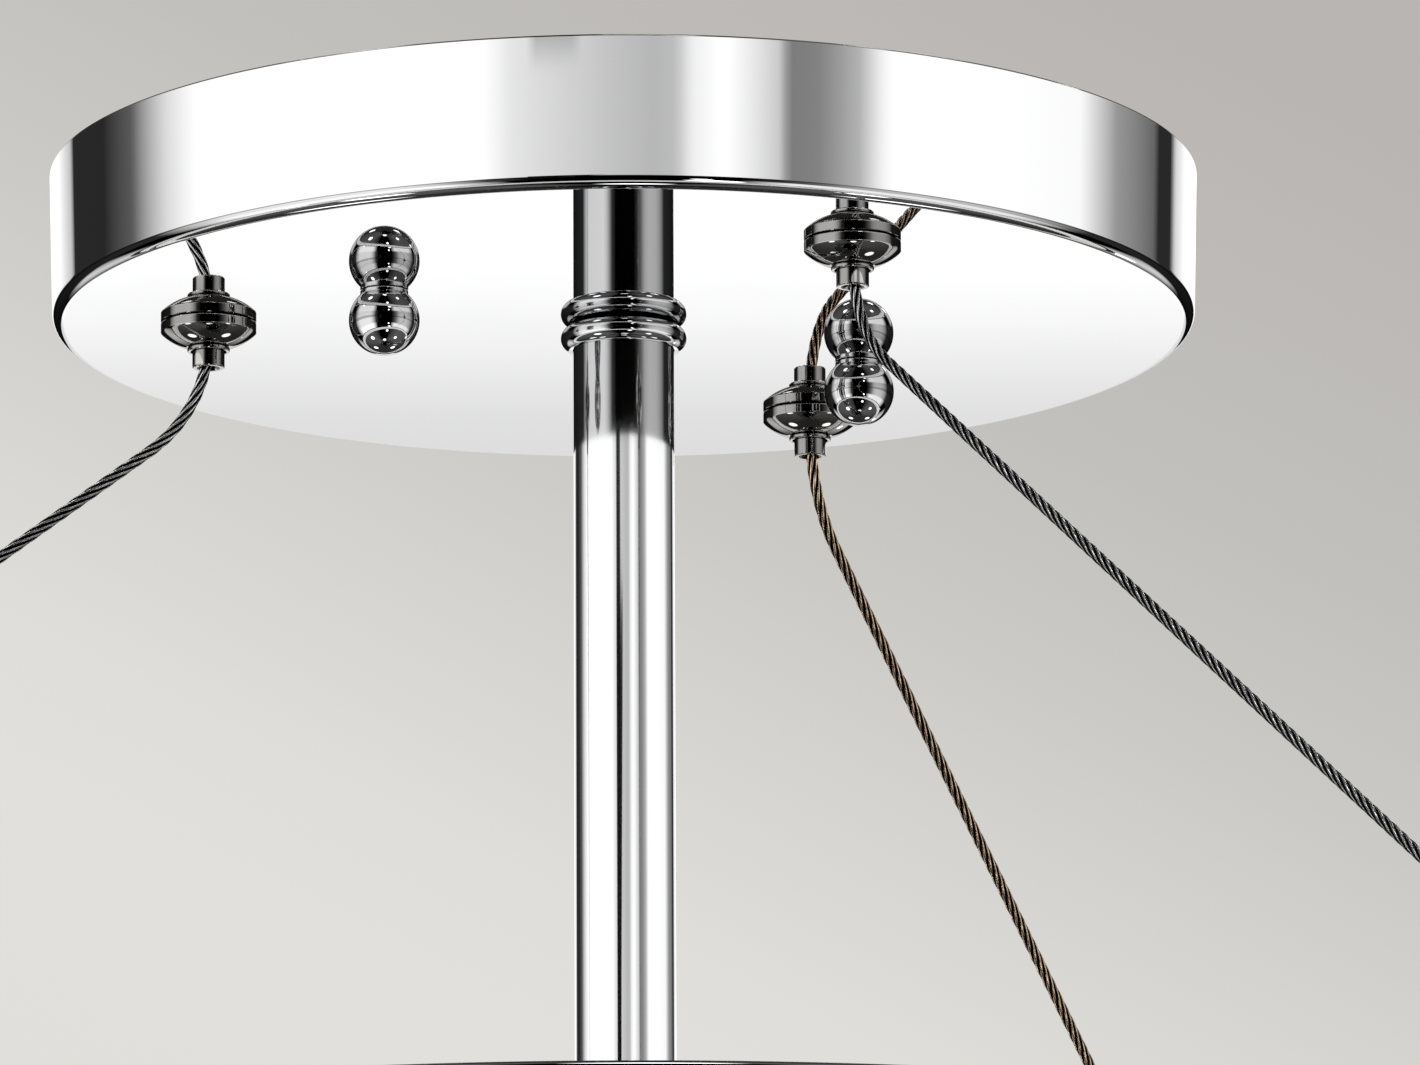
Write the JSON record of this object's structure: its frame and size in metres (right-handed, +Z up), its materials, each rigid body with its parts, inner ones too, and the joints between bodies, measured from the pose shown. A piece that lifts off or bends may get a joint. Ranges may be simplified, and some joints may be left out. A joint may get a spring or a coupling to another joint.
{
  "type": "ceiling light",
  "caption": "Bowl ceiling light: round chrome canopy, down tube with a lamp pan, splayed wire ropes in cable grips, rim ring and opal glass dish.",
  "frame": {"origin": "where the down tube's axis meets the ceiling, in the plane of the mounting plate's top face and the canopy's rim", "axes": "+Z up into the ceiling, along the down tube; +X from one ball nut to the other; +Y along the plate's slotted arms"},
  "size_m": [0.626, 0.626, 0.3075],
  "materials": {
    "polished_chrome": "mirror polished chrome plate",
    "grip_chrome": "polished nickel-chrome plate on turned brass, darker than the canopy",
    "rope_steel": "stranded stainless wire rope, right-hand lay",
    "zinc_plate": "bright zinc-plated steel",
    "turned_brass": "bright turned brass",
    "white_nylon": "moulded nylon",
    "white_ceramic": "glazed porcelain",
    "lamp_glass": "frosted lamp glass",
    "opal_glass": "opal glass with a satin skin",
    "grey_felt": "felt strip"
  },
  "bodies": {
    "root": {"canopy_pan": "polished_chrome", "down_tube": "polished_chrome", "tube_collar": "polished_chrome", "lamp_pan": "polished_chrome", "rim_ring": "polished_chrome", "mounting_plate": "zinc_plate", "canopy_stud_right": "zinc_plate", "canopy_stud_left": "zinc_plate", "stud_nut_right": "zinc_plate", "stud_nut_left": "zinc_plate", "top_nipple": "turned_brass", "plate_lock_nut": "turned_brass", "canopy_lock_nut": "turned_brass", "top_bush": "turned_brass", "low_bush": "turned_brass", "pan_nipple": "turned_brass", "pan_lock_nut": "turned_brass", "felt_strip": "grey_felt", "glass_dish": "opal_glass", "terminal_block": "white_nylon", "block_screw": "zinc_plate", "earth_screw": "turned_brass", "grip_flange_1": "grip_chrome", "grip_nut_1": "zinc_plate", "grip_ring_1": "grip_chrome", "grip_spring_1": "zinc_plate", "grip_jaws_1": "turned_brass", "grip_cap_1": "turned_brass", "wire_rope_1": "rope_steel", "rope_boss_1": "polished_chrome", "grub_screw_1": "zinc_plate", "lampholder_1": "white_ceramic", "grip_flange_2": "grip_chrome", "grip_nut_2": "zinc_plate", "grip_ring_2": "grip_chrome", "grip_spring_2": "zinc_plate", "grip_jaws_2": "turned_brass", "grip_cap_2": "turned_brass", "wire_rope_2": "rope_steel", "rope_boss_2": "polished_chrome", "grub_screw_2": "zinc_plate", "lampholder_2": "white_ceramic", "grip_flange_3": "grip_chrome", "grip_nut_3": "zinc_plate", "grip_ring_3": "grip_chrome", "grip_spring_3": "zinc_plate", "grip_jaws_3": "turned_brass", "grip_cap_3": "turned_brass", "wire_rope_3": "rope_steel", "rope_boss_3": "polished_chrome", "grub_screw_3": "zinc_plate", "lampholder_3": "white_ceramic"},
    "ball_nut_right": {"ball_nut_right": "polished_chrome"},
    "ball_nut_left": {"ball_nut_left": "polished_chrome"},
    "release_1": {"grip_plunger_1": "grip_chrome"},
    "lamp_1_body": {"lamp_1": "lamp_glass"},
    "release_2": {"grip_plunger_2": "grip_chrome"},
    "lamp_2_body": {"lamp_2": "lamp_glass"},
    "release_3": {"grip_plunger_3": "grip_chrome"},
    "lamp_3_body": {"lamp_3": "lamp_glass"}
  },
  "joints": [
    {"name": "ball_nut_right_turn", "type": "hinge", "parent": "root", "child": "ball_nut_right", "pos_m": [0.0437, 0, -0.0282], "axis": [0, 0, 1], "continuous": true},
    {"name": "ball_nut_left_turn", "type": "hinge", "parent": "root", "child": "ball_nut_left", "pos_m": [-0.0437, 0, -0.0282], "axis": [0, 0, 1], "continuous": true},
    {"name": "grip_release_1", "type": "slide", "parent": "root", "child": "release_1", "axis": [0, 0, 1], "range_m": [0, 0.0015], "stiffness_N_per_m": 600, "springref_m": -0.0015, "deforming": ["grip_spring_1"]},
    {"name": "grip_release_2", "type": "slide", "parent": "root", "child": "release_2", "axis": [0, 0, 1], "range_m": [0, 0.0015], "stiffness_N_per_m": 600, "springref_m": -0.0015, "deforming": ["grip_spring_2"]},
    {"name": "grip_release_3", "type": "slide", "parent": "root", "child": "release_3", "axis": [0, 0, 1], "range_m": [0, 0.0015], "stiffness_N_per_m": 600, "springref_m": -0.0015, "deforming": ["grip_spring_3"]},
    {"name": "lamp_1_turn", "type": "hinge", "parent": "root", "child": "lamp_1_body", "pos_m": [0, 0.105, -0.225], "axis": [0, 0, 1], "continuous": true},
    {"name": "lamp_2_turn", "type": "hinge", "parent": "root", "child": "lamp_2_body", "pos_m": [-0.09093, -0.0525, -0.225], "axis": [0, 0, 1], "continuous": true},
    {"name": "lamp_3_turn", "type": "hinge", "parent": "root", "child": "lamp_3_body", "pos_m": [0.09093, -0.0525, -0.225], "axis": [0, 0, 1], "continuous": true}
  ]
}
